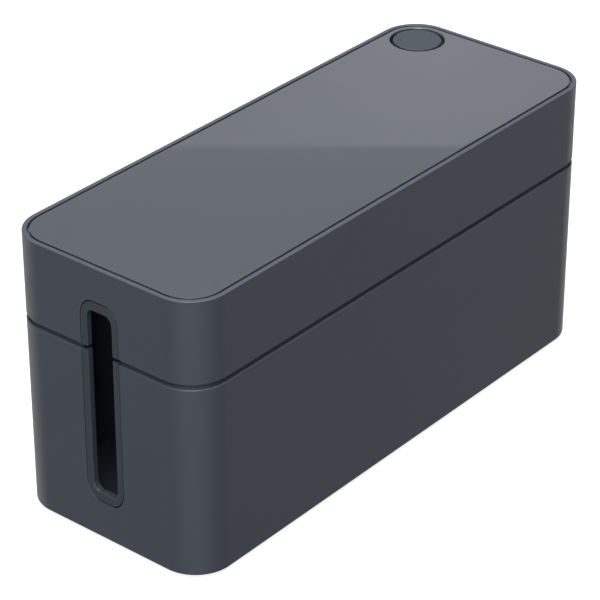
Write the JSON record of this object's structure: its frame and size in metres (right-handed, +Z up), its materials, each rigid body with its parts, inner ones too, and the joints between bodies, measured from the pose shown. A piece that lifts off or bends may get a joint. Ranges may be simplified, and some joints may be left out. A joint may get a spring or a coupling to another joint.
{
  "type": "cable management box",
  "caption": "Lidded cable management box: open base tub, lift-off lid with set-in top panel, a trimmed slot in each short end and a capped round cable outlet in the lid.",
  "frame": {"origin": "on the ground under the middle of the box, level with the undersides of the feet", "axes": "+Z up, +X along the length towards the end with the round outlet, -Y is the long front wall; the slots are in the -X and +X ends"},
  "size_m": [0.406, 0.155, 0.197],
  "materials": {
    "shell": "fine matte texture",
    "panel": "satin, lightly reflective",
    "trim": "smooth matte",
    "cap": "smooth matte",
    "collar": "matte",
    "rubber": "soft matte rubber",
    "tape": "closed-cell foam tape"
  },
  "bodies": {
    "base": {"base_shell": "shell", "base_slot_trim_left": "trim", "base_slot_trim_right": "trim", "foot_front_left": "rubber", "foot_front_right": "rubber", "foot_rear_left": "rubber", "foot_rear_right": "rubber"},
    "lid": {"lid_shell": "shell", "lid_top_panel": "panel", "panel_tape_front": "tape", "panel_tape_middle": "tape", "panel_tape_rear": "tape", "lid_slot_trim_left": "trim", "lid_slot_trim_right": "trim", "outlet_collar": "collar"},
    "cap": {"outlet_cap": "cap", "cap_grip_ring": "rubber"}
  },
  "joints": [
    {"name": "lid_lift", "type": "slide", "parent": "base", "child": "lid", "axis": [0, 0, 1], "range_m": [0, 0.12]},
    {"name": "outlet_cap_lift", "type": "slide", "parent": "lid", "child": "cap", "axis": [0, 0, 1], "range_m": [0, 0.04]}
  ]
}
